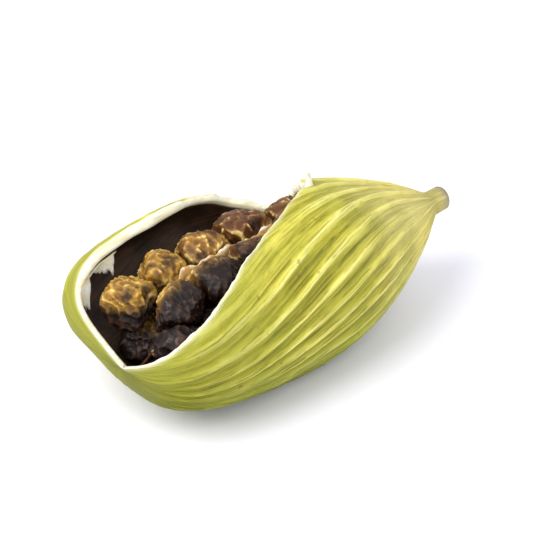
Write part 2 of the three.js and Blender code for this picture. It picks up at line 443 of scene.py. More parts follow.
def make_fibre_group():
    """Dry plant fibres that run along the pod: a mask of streaks and their height."""
    tree, inside, out = new_group("plant_fibres", [
        ("Place", "NodeSocketVector", None),
        ("Along", "NodeSocketFloat", 6.0),
        ("Round", "NodeSocketFloat", 30.0),
    ], ["Streak", "Height"])
    stretch = add(tree, "ShaderNodeCombineXYZ", {
        "X": inside["Along"], "Y": inside["Round"], "Z": inside["Round"],
    })
    place = add(tree, "ShaderNodeVectorMath", {
        0: inside["Place"], 1: stretch.outputs[0],
    }, operation="MULTIPLY")
    coarse = add(tree, "ShaderNodeTexNoise", {
        "Vector": place.outputs[0], "Scale": 1.0, "Detail": 5.0, "Roughness": 0.6, "Distortion": 0.2,
    })
    fine = add(tree, "ShaderNodeTexNoise", {
        "Vector": place.outputs[0], "Scale": 3.1, "Detail": 3.0, "Roughness": 0.7,
    })
    tree.links.new(ramp(tree, coarse.outputs["Fac"], 0.3, 0.7), out["Streak"])
    both = maths(tree, "MULTIPLY_ADD", fine.outputs["Fac"], 0.5, coarse.outputs["Fac"])
    tree.links.new(both, out["Height"])
    return tree


def make_mottle_group():
    """Soft blotches: a mask from 0 to 1 with a chosen size and cover."""
    tree, inside, out = new_group("soft_mottle", [
        ("Place", "NodeSocketVector", None),
        ("Scale", "NodeSocketFloat", 400.0),
        ("Low", "NodeSocketFloat", 0.4),
        ("High", "NodeSocketFloat", 0.65),
    ], ["Mask"])
    cloud = add(tree, "ShaderNodeTexNoise", {
        "Vector": inside["Place"], "Scale": inside["Scale"],
        "Detail": 4.0, "Roughness": 0.55, "Distortion": 0.4,
    })
    tree.links.new(ramp(tree, cloud.outputs["Fac"], inside["Low"], inside["High"]), out["Mask"])
    return tree


def make_crinkle_group():
    """Fine crumpling of dry tissue: a height from creases between small flat cells and a little grain."""
    tree, inside, out = new_group("dry_crinkle", [
        ("Place", "NodeSocketVector", None),
        ("Scale", "NodeSocketFloat", 2500.0),
    ], ["Height"])
    bend = add(tree, "ShaderNodeTexNoise", {
        "Vector": inside["Place"], "Scale": inside["Scale"], "Detail": 2.0,
    })
    cells = add(tree, "ShaderNodeTexVoronoi", {
        "Vector": inside["Place"], "Scale": inside["Scale"], "Randomness": 1.0,
    }, feature="SMOOTH_F1")
    total = maths(tree, "ADD", bend.outputs["Fac"], cells.outputs["Distance"])
    tree.links.new(total, out["Height"])
    return tree


# How far the lines of the vein group lie off their own angle on average
VEIN_SHIFT = 0.025


def make_vein_group():
    """Thin lines that run with the ribs, so many to each rib, and come and go along the pod."""
    tree, inside, out = new_group("husk_veins", [
        ("Lie", "NodeSocketVector", None),
        ("Round", "NodeSocketFloat", 3.0 * RIBS),
        ("Width", "NodeSocketFloat", 0.5),
        ("Shift", "NodeSocketFloat", 0.0),
    ], ["Line"])
    axes = add(tree, "ShaderNodeSeparateXYZ", {0: inside["Lie"]}).outputs
    bend = add(tree, "ShaderNodeTexNoise", {"Vector": inside["Lie"], "Scale": 9.0, "Detail": 2.0})
    turn = maths(tree, "ADD", maths(tree, "ARCTAN2", axes["Z"], axes["Y"]), inside["Shift"])
    turn = maths(tree, "ADD", turn, maths(tree, "MULTIPLY", bend.outputs["Fac"], 2 * VEIN_SHIFT))
    wave = maths(tree, "COSINE", maths(tree, "MULTIPLY", turn, inside["Round"]))
    line = ramp(tree, wave, inside["Width"], 1.0)
    shown = add(tree, "ShaderNodeTexNoise", {"Vector": inside["Lie"], "Scale": 14.0, "Detail": 3.0})
    tree.links.new(maths(tree, "MULTIPLY", line, ramp(tree, shown.outputs["Fac"], 0.36, 0.6)), out["Line"])
    return tree


FIBRES = make_fibre_group()
MOTTLE = make_mottle_group()
CRINKLE = make_crinkle_group()
VEINS = make_vein_group()


# Colours of the skin
SKIN_TONES = (
    (0.0, srgb(96, 98, 18)),
    (0.22, srgb(168, 162, 42)),
    (0.55, srgb(214, 205, 82)),
    (0.92, srgb(252, 245, 150)),
)
VEIN_BROWN = srgb(122, 112, 30)
# Dark lines down the rib grooves: partly the husk's own colour, partly painted shade in the grooves
GROOVE_BROWN_AND_PAINTED_SHADE = srgb(100, 96, 20)
# Straw towards the stalk: partly the husk's own colour, partly painted light on the stalk end
STRAW_AND_PAINTED_LIGHT = srgb(255, 240, 150)
BLOSSOM_OLIVE = srgb(142, 144, 32)
# Greener and darker towards the bottom of the pod: painted shade on its underside
BELLY_PAINTED_SHADE = srgb(126, 136, 28)
PATCH_GREEN = srgb(152, 158, 46)
SPECK_BROWN = srgb(128, 100, 44)
SKIN_RIM = srgb(230, 226, 176)
STUB_TAN = srgb(222, 205, 158)

# Colours of the cut flesh, the lining, the membranes and the broken stalk
FLESH_CREAM = srgb(228, 216, 170)
FLESH_WHITE = srgb(252, 249, 236)
FLESH_STAIN = srgb(206, 190, 122)
# Near-black lining further in: painted shade inside the pod, with fibre streaks and darker blotches
LINING_PAINTED_SHADE_DARK = srgb(44, 28, 18)
LINING_PAINTED_SHADE_BROWN = srgb(92, 62, 36)
LINING_PAINTED_SHADE_BLOTCH = srgb(26, 17, 12)
LINING_CREAM = srgb(232, 222, 184)
MEMBRANE_BROWN = srgb(118, 76, 38)
MEMBRANE_STAIN = srgb(70, 42, 22)
MEMBRANE_GOLD = srgb(196, 150, 84)
# Cream flecks by the membrane's torn edge: partly its own colour, partly painted highlights
MEMBRANE_CREAM_AND_HIGHLIGHT = srgb(244, 232, 202)
SCAR_CREAM = srgb(232, 216, 178)
SCAR_BROWN = srgb(150, 116, 70)

# Colours of the seed coat, of the dried pulp on it and of the floor
COAT_BLACK = srgb(20, 10, 7)
COAT_BROWN = srgb(44, 21, 12)
COAT_BLOTCH = srgb(20, 14, 12)
# Lighter wrinkle ridges on the dark coat: painted highlights
COAT_PAINTED_HIGHLIGHT = srgb(96, 64, 46)
PULP_GOLD = srgb(228, 176, 70)
PULP_BROWN = srgb(104, 52, 22)
PULP_BLOTCH = srgb(96, 56, 22)
# Darker pulp in the creases: painted shade
PULP_PAINTED_CREASE_SHADE = srgb(64, 34, 12)
# Cream flecks on the pulp's ridges: partly pale pulp, partly painted highlights
PULP_CREAM_AND_HIGHLIGHT = srgb(250, 224, 142)
FLOOR_PALE = srgb(249, 247, 255)
FLOOR_SHADE = srgb(247, 245, 254)


def new_material(name):
    material = bpy.data.materials.new(name)
    material.use_nodes = True
    tree = material.node_tree
    return material, tree, tree.nodes["Principled BSDF"]


def finish_surface(tree, shader, colour, roughness, height, depth, strength):
    """Joins colour, roughness and a bump of a given depth in millimetres to the surface."""
    bump = add(tree, "ShaderNodeBump", {"Strength": strength, "Distance": depth * MM, "Height": height})
    tree.links.new(colour, shader.inputs["Base Color"])
    tree.links.new(roughness, shader.inputs["Roughness"])
    tree.links.new(bump.outputs["Normal"], shader.inputs["Normal"])


def soften(shader, weight, red, green, blue):
    """Lets a little light through the surface, in millimetres for each colour."""
    shader.inputs["Subsurface Weight"].default_value = weight
    shader.inputs["Subsurface Radius"].default_value = (red, green, blue)
    shader.inputs["Subsurface Scale"].default_value = MM


def make_skin():
    """Yellow-green papery husk: pale crests, olive grooves with dark lines that are partly painted shade,
    fine dark veins, straw towards the stalk that is partly painted light, and painted shade towards the
    bottom.
    """
    material, tree, shader = new_material("husk_skin")
    place = tree.nodes.new("ShaderNodeTexCoord").outputs["Object"]
    lie = attribute(tree, "fibre_lie").outputs["Vector"]
    share = add(tree, "ShaderNodeSeparateXYZ", {0: lie}).outputs["X"]
    paleness = attribute(tree, "paleness").outputs["Fac"]
    fibres = place_group(tree, FIBRES, {"Place": lie, "Along": 6.0, "Round": 22.0})
    hairs = place_group(tree, FIBRES, {"Place": lie, "Along": 9.0, "Round": 32.0})
    patches = place_group(tree, MOTTLE, {"Place": place, "Scale": 330.0, "Low": 0.42, "High": 0.68})["Mask"]
    specks = place_group(tree, MOTTLE, {"Place": place, "Scale": 1900.0, "Low": 0.66, "High": 0.74})["Mask"]
    crinkle = place_group(tree, CRINKLE, {"Place": place, "Scale": 2600.0})["Height"]
    veins = place_group(tree, VEINS, {"Lie": lie, "Round": 3.0 * RIBS, "Width": 0.35})["Line"]
    threads = place_group(tree, VEINS, {"Lie": lie, "Round": 7.0 * RIBS, "Width": 0.2})["Line"]
    lines = maths(tree, "ADD", maths(tree, "MULTIPLY", veins, 0.6), maths(tree, "MULTIPLY", threads, 0.4))
    grooves = place_group(tree, VEINS, {
        "Lie": lie, "Round": 1.0 * RIBS, "Width": 0.82, "Shift": math.pi / RIBS - VEIN_SHIFT,
    })["Line"]
    grooves = maths(tree, "MULTIPLY", grooves, ramp(tree, paleness, 0.12, 0.4, 1.0, 0.0))
    streaks = maths(tree, "ADD", fibres["Streak"], maths(tree, "MULTIPLY", hairs["Streak"], 0.6))
    level = maths(tree, "MULTIPLY_ADD", paleness, 0.62, maths(tree, "MULTIPLY", streaks, 0.23))
    colour = tone_scale(tree, level, SKIN_TONES)
    colour = tint(tree, colour, lines, 0.55, VEIN_BROWN)
    # Dark lines in the rib grooves, partly painted shade
    colour = tint(tree, colour, grooves, 0.6, GROOVE_BROWN_AND_PAINTED_SHADE)
    # Straw towards the stalk, partly painted light that brightens the stalk end
    colour = tint(tree, colour, ramp(tree, share, 0.46, 0.14), 0.78, STRAW_AND_PAINTED_LIGHT)
    colour = tint(tree, colour, ramp(tree, share, 0.62, 0.96), 0.7, BLOSSOM_OLIVE)
    # Painted shade: greener and darker towards the bottom of the pod, by height above the floor
    low = add(tree, "ShaderNodeSeparateXYZ", {0: place}).outputs["Z"]
    colour = tint(tree, colour, ramp(tree, low, 4.6 * MM, 0.5 * MM), 0.85, BELLY_PAINTED_SHADE)
    colour = tint(tree, colour, patches, 0.35, PATCH_GREEN)
    colour = tint(tree, colour, specks, 0.55, SPECK_BROWN)
    pale_rim = ramp(tree, attribute(tree, "edge_near").outputs["Fac"], 0.25, 1.0, 0.0, 0.75)
    colour = mix_colour(tree, pale_rim, colour, SKIN_RIM)
    colour = mix_colour(tree, ramp(tree, share, 0.03, 0.0), colour, STUB_TAN)
    roughness = ramp(tree, hairs["Streak"], 0.0, 1.0, 0.54, 0.74)
    height = maths(tree, "ADD", hairs["Height"], maths(tree, "MULTIPLY", crinkle, 0.35))
    height = maths(tree, "SUBTRACT", height, maths(tree, "MULTIPLY", lines, 0.8))
    finish_surface(tree, shader, colour, roughness, height, depth=0.11, strength=0.85)
    shader.inputs["Specular IOR Level"].default_value = 0.35
    soften(shader, weight=0.05, red=0.4, green=0.36, blue=0.1)
    return material


def make_cut_edge():
    """Pale fibrous flesh of the husk where it was cut through."""
    material, tree, shader = new_material("cut_edge")
    place = tree.nodes.new("ShaderNodeTexCoord").outputs["Object"]
    fibres = place_group(tree, FIBRES, {"Place": place, "Along": 500.0, "Round": 3600.0})
    dark_blotches = place_group(tree, MOTTLE, {"Place": place, "Scale": 600.0, "Low": 0.52, "High": 0.78})["Mask"]
    colour = mix_colour(tree, fibres["Streak"], FLESH_CREAM, FLESH_WHITE)
    colour = tint(tree, colour, dark_blotches, 0.4, FLESH_STAIN)
    roughness = ramp(tree, fibres["Streak"], 0.0, 1.0, 0.85, 0.65)
    finish_surface(tree, shader, colour, roughness, fibres["Height"], depth=0.04, strength=0.5)
    soften(shader, weight=0.2, red=0.6, green=0.5, blue=0.3)
    return material


def make_lining():
    """Fibrous inside of the husk: cream along the edge, painted nearly black further in as painted shade
    deep inside the pod.
    """
    material, tree, shader = new_material("husk_lining")
    place = tree.nodes.new("ShaderNodeTexCoord").outputs["Object"]
    lie = attribute(tree, "fibre_lie").outputs["Vector"]
    fibres = place_group(tree, FIBRES, {"Place": lie, "Along": 9.0, "Round": 60.0})
    dark_blotches = place_group(tree, MOTTLE, {"Place": place, "Scale": 420.0, "Low": 0.36, "High": 0.6})["Mask"]
    near = attribute(tree, "edge_near").outputs["Fac"]
    # Painted shade: the lining turns near black away from the cut edge, with darker painted blotches
    colour = mix_colour(tree, fibres["Streak"], LINING_PAINTED_SHADE_DARK, LINING_PAINTED_SHADE_BROWN)
    colour = tint(tree, colour, dark_blotches, 0.7, LINING_PAINTED_SHADE_BLOTCH)
    colour = mix_colour(tree, ramp(tree, near, 0.42, 0.8), colour, LINING_CREAM)
    roughness = ramp(tree, fibres["Streak"], 0.0, 1.0, 0.4, 0.62)
    finish_surface(tree, shader, colour, roughness, fibres["Height"], depth=0.05, strength=0.5)
    return material


def make_membrane_finish():
    """Thin papery membrane: stained brown, golden towards its torn edge, with cream flecks along it that
    are partly painted highlights.
    """
    material, tree, shader = new_material("papery_membrane")
    place = tree.nodes.new("ShaderNodeTexCoord").outputs["Object"]
    edge = attribute(tree, "torn_edge").outputs["Fac"]
    dark_blotches = place_group(tree, MOTTLE, {"Place": place, "Scale": 700.0, "Low": 0.35, "High": 0.65})["Mask"]
    flecks = place_group(tree, MOTTLE, {"Place": place, "Scale": 1100.0, "Low": 0.42, "High": 0.6})["Mask"]
    crinkle = place_group(tree, CRINKLE, {"Place": place, "Scale": 2400.0})["Height"]
    colour = mix_colour(tree, dark_blotches, MEMBRANE_BROWN, MEMBRANE_STAIN)
    colour = mix_colour(tree, ramp(tree, edge, 0.1, 0.6), colour, MEMBRANE_GOLD)
    # Cream flecks near the torn edge, partly painted highlights
    pale = maths(tree, "MULTIPLY", ramp(tree, edge, 0.5, 0.95), ramp(tree, flecks, 0.2, 0.9, 0.05, 1.0))
    colour = mix_colour(tree, pale, colour, MEMBRANE_CREAM_AND_HIGHLIGHT)
    roughness = ramp(tree, dark_blotches, 0.0, 1.0, 0.45, 0.65)
    finish_surface(tree, shader, colour, roughness, crinkle, depth=0.08, strength=0.6)
    soften(shader, weight=0.15, red=0.5, green=0.3, blue=0.15)
    return material


def make_seed_coat():
    """Nearly black wrinkled seed coat with painted highlights on its ridges, under a golden film of dried
    pulp by the membrane, which is also painted light on faces turned up, with painted shade in its creases
    and cream flecks that are partly painted highlights.
    """
    material, tree, shader = new_material("seed_coat")
    place = tree.nodes.new("ShaderNodeTexCoord").outputs["Object"]
    tone = attribute(tree, "seed_tone").outputs["Fac"]
    film = attribute(tree, "pulp_film_and_painted_light").outputs["Fac"]
    fold = attribute(tree, "fold").outputs["Fac"]
    blotch = place_group(tree, MOTTLE, {"Place": place, "Scale": 900.0, "Low": 0.35, "High": 0.65})["Mask"]
    thin = place_group(tree, MOTTLE, {"Place": place, "Scale": 1300.0, "Low": 0.3, "High": 0.55})["Mask"]
    crinkle = place_group(tree, CRINKLE, {"Place": place, "Scale": 4200.0})["Height"]
    dark = mix_colour(tree, tone, COAT_BLACK, COAT_BROWN)
    dark = tint(tree, dark, blotch, 0.6, COAT_BLOTCH)
    # Painted highlights: the dark coat is lighter along its wrinkle ridges
    dark = tint(tree, dark, ramp(tree, fold, 0.3, 0.85), 0.55, COAT_PAINTED_HIGHLIGHT)
    golden = mix_colour(tree, tone, PULP_GOLD, PULP_BROWN)
    golden = tint(tree, golden, blotch, 0.6, PULP_BLOTCH)
    # Painted shade: the pulp is darker where the wrinkles sink
    sunk = ramp(tree, fold, 0.06, 0.5, 0.85, 0.0)
    creases = maths(tree, "MULTIPLY", sunk, ramp(tree, thin, 0.0, 1.0, 1.0, 0.68))
    golden = mix_colour(tree, creases, golden, PULP_PAINTED_CREASE_SHADE)
    # Cream flecks on the raised wrinkles, partly painted highlights
    flecks = maths(tree, "MULTIPLY", ramp(tree, fold, 0.45, 0.8), ramp(tree, thin, 0.5, 1.0))
    golden = tint(tree, golden, flecks, 0.72, PULP_CREAM_AND_HIGHLIGHT)
    # The golden cover follows the pulp film, which is also painted light on upward faces
    cover = maths(tree, "MULTIPLY", film, ramp(tree, thin, 0.0, 1.0, 0.25, 1.0))
    colour = mix_colour(tree, cover, dark, golden)
    roughness = ramp(tree, blotch, 0.0, 1.0, 0.38, 0.58)
    finish_surface(tree, shader, colour, roughness, crinkle, depth=0.06, strength=0.7)
    shader.inputs["Specular IOR Level"].default_value = 0.34
    return material


def make_stalk_scar():
    """Broken end of the stalk: pale fibres with a brown middle."""
    material, tree, shader = new_material("stalk_scar")
    place = tree.nodes.new("ShaderNodeTexCoord").outputs["Object"]
    pores = place_group(tree, MOTTLE, {"Place": place, "Scale": 3600.0, "Low": 0.4, "High": 0.65})["Mask"]
    colour = mix_colour(tree, pores, SCAR_CREAM, SCAR_BROWN)
    roughness = ramp(tree, pores, 0.0, 1.0, 0.75, 0.95)
    finish_surface(tree, shader, colour, roughness, pores, depth=-0.1, strength=0.8)
    return material


SKIN = make_skin()
CUT_EDGE = make_cut_edge()
LINING = make_lining()
MEMBRANE = make_membrane_finish()
SEED_COAT = make_seed_coat()
STALK_SCAR = make_stalk_scar()


# The husk: one closed wall with its skin, its lining and the cut edge between them
HUSK_FINISHES = (SKIN, CUT_EDGE, LINING, STALK_SCAR)
SKIN_FACE, EDGE_FACE, LINING_FACE, SCAR_FACE = range(4)
HUSK_COLUMNS = RIBS * 14
HUSK_ROWS = 200
EDGE_TURN_WEIGHT = 3
LINING_STRIDE = 6
EDGE_STEPS = 4
RIM_THINNING = 0.4
RIM_REACH = 1.4
WALL_KEPT = 0.82
EDGE_BULGE = 0.05
SKIN_EDGE_REACH = 0.22
LINING_EDGE_REACH = 0.3
SCAR_DEPTH = 0.12


def husk_stations():
    """Shares at even steps along the opening's near edge, so that no row of faces is skewed much."""
    fine = 1 - (1 - np.linspace(0, 1, 6001)) ** 4
    edge = pod_point(fine, opening_edges(fine)[1], 0) * (1, EDGE_TURN_WEIGHT, EDGE_TURN_WEIGHT)
    walked = np.concatenate([[0], np.cumsum(np.linalg.norm(np.diff(edge, axis=0), axis=1))])
    shares = np.interp(np.linspace(0, walked[-1], HUSK_ROWS), walked, fine)
    shares[np.argmin(np.abs(shares - OPENING_START))] = OPENING_START
    return shares


def grid_normals(points):
    """Outward normals of a grid that closes round the pod, from the steps between its points."""
    along = np.gradient(points, axis=0)
    around = np.gradient(points, axis=1)
    normal = np.cross(along, around)
    normal /= np.maximum(np.linalg.norm(normal, axis=-1, keepdims=True), 1e-9)
    return normal


def husk_walls(shares, open_row):
    """Grids of the skin and the lining, with paleness, nearness to the cut edge and lie of the fibres."""
    far, near = opening_edges(shares)
    across = np.linspace(0, 1, HUSK_COLUMNS + 1)
    share = np.repeat(shares[:, None], HUSK_COLUMNS + 1, axis=1)
    first = np.unwrap(rib_start(shares, near))
    last = np.unwrap(rib_start(shares, far)) + 2 * np.pi
    last = last - 2 * np.pi * np.rint((last[0] - first[0] - 2 * np.pi) / (2 * np.pi))
    start = first[:, None] + (last - first)[:, None] * across
    angle = gathered(share, start)
    relief, pale = skin_relief(share, start)
    outer = pod_point(share, angle, relief)
    smooth = pod_point(share, angle, 0 * share)
    normal = grid_normals(smooth)
    outward = np.sum(normal[:-1] * (smooth[:-1] * (0, 1, 1)), axis=-1).mean()
    normal = normal if outward > 0 else -normal
    normal[-1] = (-1, 0, 0)
    steps = np.linalg.norm(np.diff(smooth, axis=1), axis=-1)
    walked = np.concatenate([np.zeros((len(shares), 1)), np.cumsum(steps, axis=1)], axis=1)
    arc = np.minimum(walked, walked[:, -1:] - walked)
    thinned = np.where(open_row[:, None], RIM_THINNING * (1 - smoothstep(0, RIM_REACH, arc)), 0)
    inner = smooth - (WALL * WALL_KEPT * (1 - thinned))[..., None] * normal
    skin_near = np.where(open_row[:, None], np.exp(-arc / SKIN_EDGE_REACH), 0)
    lining_near = np.where(open_row[:, None], np.exp(-arc / LINING_EDGE_REACH), 0)
    lie = np.stack([share, np.cos(start), np.sin(start)], -1)
    return outer, inner, pale, skin_near, lining_near, lie


def make_husk():
    """The wall, closed from its skin over the cut edge to its lining, with the broken end of its stalk."""
    shares = husk_stations()
    open_row = shares > OPENING_START
    outer, inner, pale, skin_near, lining_near, lie = husk_walls(shares, open_row)
    points, pales, lies, nears = [], [], [], []

    def keep(point, pale_value, lie_value, near_value):
        points.append(point)
        pales.append(pale_value)
        lies.append(lie_value)
        nears.append(near_value)
        return len(points) - 1

    def lay(grid, pale_grid, near_grid, first_row, stride):
        """Numbers the points of a grid: closed rows share their seam, and the last row is one point."""
        columns = range(0, HUSK_COLUMNS + 1, stride)
        numbers = np.zeros((len(shares), len(columns)), int)
        for i in range(first_row, len(shares)):
            if i == len(shares) - 1:
                numbers[i] = keep(grid[i].mean(0), 0, lie[i, 0], near_grid[i, 0])
                continue
            for n, j in enumerate(columns):
                if j == HUSK_COLUMNS and not open_row[i]:
                    numbers[i, n] = numbers[i, 0]
                else:
                    numbers[i, n] = keep(grid[i, j], pale_grid[i, j], lie[i, j], near_grid[i, j])
        return numbers

    first_inner = int(np.searchsorted(shares, CAVITY_START))
    skin = lay(outer, pale, skin_near, 0, 1)
    lining = lay(inner, 0 * pale, lining_near, first_inner, LINING_STRIDE)
    faces, finishes = [], []

    def face(corners, finish):
        corners = list(dict.fromkeys(int(c) for c in corners))
        if len(corners) > 2:
            faces.append(corners)
            finishes.append(finish)

    for i in range(len(shares) - 1):
        for j in range(HUSK_COLUMNS):
            face((skin[i, j], skin[i + 1, j], skin[i + 1, j + 1], skin[i, j + 1]), SKIN_FACE)
    for i in range(first_inner, len(shares) - 1):
        for j in range(lining.shape[1] - 1):
            face((lining[i, j], lining[i, j + 1], lining[i + 1, j + 1], lining[i + 1, j]), LINING_FACE)

    # The cut edge, a little bulged and uneven, from the skin down to the lining
    uneven = ragged_line(shares, np.random.default_rng(RIM_DRAW), (90, 170, 260))
    rim_start = int(np.argmax(open_row)) - 1
    for column, turn in ((0, 1), (HUSK_COLUMNS, -1)):
        strip = []
        for i in range(rim_start, len(shares)):
            row = [skin[i, column]]
            if rim_start < i < len(shares) - 1:
                side = turn * (outer[i, 0 if turn > 0 else -1] - outer[i, 1 if turn > 0 else -2])
                side = turn * side / max(np.linalg.norm(side), 1e-9)
                for step in range(1, EDGE_STEPS):
                    t = step / EDGE_STEPS
                    between = outer[i, column] * (1 - t) + inner[i, column] * t
                    bulge = EDGE_BULGE * 4 * t * (1 - t) * (1 + 0.5 * uneven[i])
                    row.append(keep(between + bulge * side, 0, lie[i, column], 1))
            else:
                row += [skin[i, column]] * (EDGE_STEPS - 1)
            row.append(lining[i, 0 if turn > 0 else -1])
            strip.append(row)
        for upper, lower in zip(strip, strip[1:]):
            for a in range(EDGE_STEPS):
                corners = (upper[a], upper[a + 1], lower[a + 1], lower[a])
                face(corners if turn > 0 else corners[::-1], EDGE_FACE)

    # The broken end of the stalk, and the end of the hollow inside the shoulder
    scar = keep(outer[0].mean(0) + (-SCAR_DEPTH, 0, 0), 0, (0, 0, 0), 0)
    floor = keep(inner[first_inner].mean(0), 0, (0, 0, 0), 0)
    for j in range(HUSK_COLUMNS):
        face((scar, skin[0, j], skin[0, j + 1]), SCAR_FACE)
    for j in range(lining.shape[1] - 1):
        face((floor, lining[first_inner, j + 1], lining[first_inner, j]), LINING_FACE)

    husk = mesh_object("pod_husk", points, faces, HUSK_FINISHES, finishes)
    set_attribute(husk, "paleness", pales)
    set_attribute(husk, "fibre_lie", lies)
    set_attribute(husk, "edge_near", nears)
    return as_piece(husk, ["husk"])


# The membranes: thin wavy sheets from the pod's axis to the lining, the top one torn open along its crest
SHEET_STATIONS = 170
SHEET_STEPS = 22
SHEET_THICKNESS = 0.14
MEMBRANE_SUNK_IN = 0.15
LIP_HEIGHT = 0.1
CREST_LOWERED = 0.06
CREST_RAGGED = 0.05
SHEET_WAVE = 0.07
CREST_WAVE = 0.1
END_FRAYING = 0.12
FRAYED_SHARE = 0.06
CREST_THINNING = 0.5


def thin_sheet(middle, thickness):
    """Points and faces of a closed thin sheet about a grid of points, with its thickness at each."""
    rows, columns = thickness.shape
    normal = grid_normals(middle)
    layers = [middle + side * thickness[..., None] / 2 * normal for side in (-1, 1)]
    points = np.concatenate([layer.reshape(-1, 3) for layer in layers])
    front, back = np.arange(2 * rows * columns).reshape(2, rows, columns)
    faces = []
    for i in range(rows - 1):
        for j in range(columns - 1):
            faces.append([front[i, j], front[i, j + 1], front[i + 1, j + 1], front[i + 1, j]])
            faces.append([back[i, j], back[i + 1, j], back[i + 1, j + 1], back[i, j + 1]])
    border = [(0, j) for j in range(columns - 1)]
    border += [(i, columns - 1) for i in range(rows - 1)]
    border += [(rows - 1, j) for j in range(columns - 1, 0, -1)]
    border += [(i, 0) for i in range(rows - 1, 0, -1)]
    for here, there in zip(border, border[1:] + border[:1]):
        faces.append([front[here], back[here], back[there], front[there]])
    return points, [[int(corner) for corner in corners] for corners in faces]


def make_membranes():
    """Three sheets that divide the inside, of which the top one stands torn in the opening."""
    draw = np.random.default_rng(MEMBRANE_DRAW)
    points, faces, torn = [], [], []
    shares = np.linspace(CAVITY_START + 0.01, MEMBRANE_END, SHEET_STATIONS)
    share, step = np.meshgrid(shares, np.linspace(0, 1, SHEET_STEPS), indexing="ij")
    for degrees in MEMBRANES:
        direction = math.radians(degrees)
        reach = lining_reach(shares, direction) + MEMBRANE_SUNK_IN
        opened = 0 * shares
        if degrees == TOP_MEMBRANE:
            opened = smoothstep(OPENING_START - 0.01, OPENING_START + 0.03, shares)
            uneven = CREST_RAGGED * ragged_line(shares, draw, (19, 47, 101, 230))
            uneven = CREST_SHARE - CREST_LOWERED + uneven
            crest = lining_reach(np.minimum(shares, CREST_END), direction) * uneven
            crest = crest + (LIP_HEIGHT - crest) * smoothstep(CREST_SINKING, MEMBRANE_END, shares)
            reach = reach + (crest - reach) * opened
        bare = opened[:, None]
        wave = SHEET_WAVE * step * waves(share, step * 2, draw, 6, (1, 4), (8, 40))
        wave = wave + CREST_WAVE * step**3 * bare * waves(share, 0 * step, draw, 5, (1, 2), (30, 90))
        out = reach[:, None] * step
        ends = smoothstep(MEMBRANE_END - FRAYED_SHARE, MEMBRANE_END, share)
        frayed = END_FRAYING * ends * waves(share * 0, step * 3, draw, 4, (1, 5), (1, 2))
        middle = np.stack([
            LENGTH * (0.5 - share) + frayed,
            out * math.cos(direction) - wave * math.sin(direction),
            out * math.sin(direction) + wave * math.cos(direction),
        ], -1)
        sheet, sheet_faces = thin_sheet(middle, SHEET_THICKNESS * (1 - CREST_THINNING * step * bare))
        faces.extend([[corner + len(points) for corner in corners] for corners in sheet_faces])
        points.extend(sheet)
        torn.extend(np.tile((step**6 * bare).ravel(), 2))
    sheets = mesh_object("pod_membranes", points, faces, (MEMBRANE,))
    set_attribute(sheets, "torn_edge", torn)
    return as_piece(sheets, ["husk"])


# A sliver of husk, torn loose where the opening starts, that lies back over the far side
SPUR_SHARES = (0.395, 0.43)
SPUR_LENGTH = 1.4
SPUR_TURN = math.radians(-43)
SPUR_LIFT = 0.32
SPUR_THICKNESS = 0.3
SPUR_THINNING = 0.65
SPUR_FRAYING = 0.1
SPUR_CURL = 0.12
SPUR_UNEVEN = 0.04
SPUR_ROOT_TURN = 0.06
SPUR_ROWS = 26
SPUR_COLUMNS = 11


def make_torn_spur():
    """The sliver narrows to a frayed point and curls up as it goes back."""
    draw = np.random.default_rng(SPUR_DRAW)
    across = np.linspace(0, 1, SPUR_COLUMNS)
    shares = SPUR_SHARES[0] + (SPUR_SHARES[1] - SPUR_SHARES[0]) * across
    root = pod_point(shares, opening_edges(shares)[1] + SPUR_ROOT_TURN, -WALL / 2)
    along, side = np.meshgrid(np.linspace(0, 1, SPUR_ROWS), across, indexing="ij")
    frayed = SPUR_FRAYING * along * ragged_line(along * 5 + side * 2, draw, (1, 2, 3))
    narrowing = np.clip(0.85 * along**1.4 + frayed, 0, 0.92)
    middle = root + (root.mean(0) - root) * narrowing[..., None]
    curl = SPUR_CURL * (1 - (2 * side - 1) ** 2) * (1 - along)
    uneven = SPUR_UNEVEN * along * ragged_line(side * 7, draw, (1, 2))
    lift = SPUR_LIFT * np.sin(0.5 * np.pi * along) + curl + uneven
    back = np.array((-math.sin(SPUR_TURN), math.cos(SPUR_TURN), 0))
    middle = middle + SPUR_LENGTH * along[..., None] * back + lift[..., None] * np.array((0, 0, 1))
    points, faces = thin_sheet(middle, SPUR_THICKNESS * (1 - SPUR_THINNING * along))
    return as_piece(mesh_object("torn_spur", points, faces, (CUT_EDGE,)), ["husk"])


# Papery scraps of lining that hang loose inside the lip at the blossom end
SCRAP_SHARES = (0.82, 0.985)
SCRAP_HEIGHT = 1.0
SCRAP_LEAST = 0.05
SCRAP_THICKNESS = 0.07
SCRAP_TURN = 0.08
SCRAP_ROOT = 0.8
SCRAP_CRUMPLE = 0.1
SCRAP_ROWS = 120
SCRAP_COLUMNS = 9


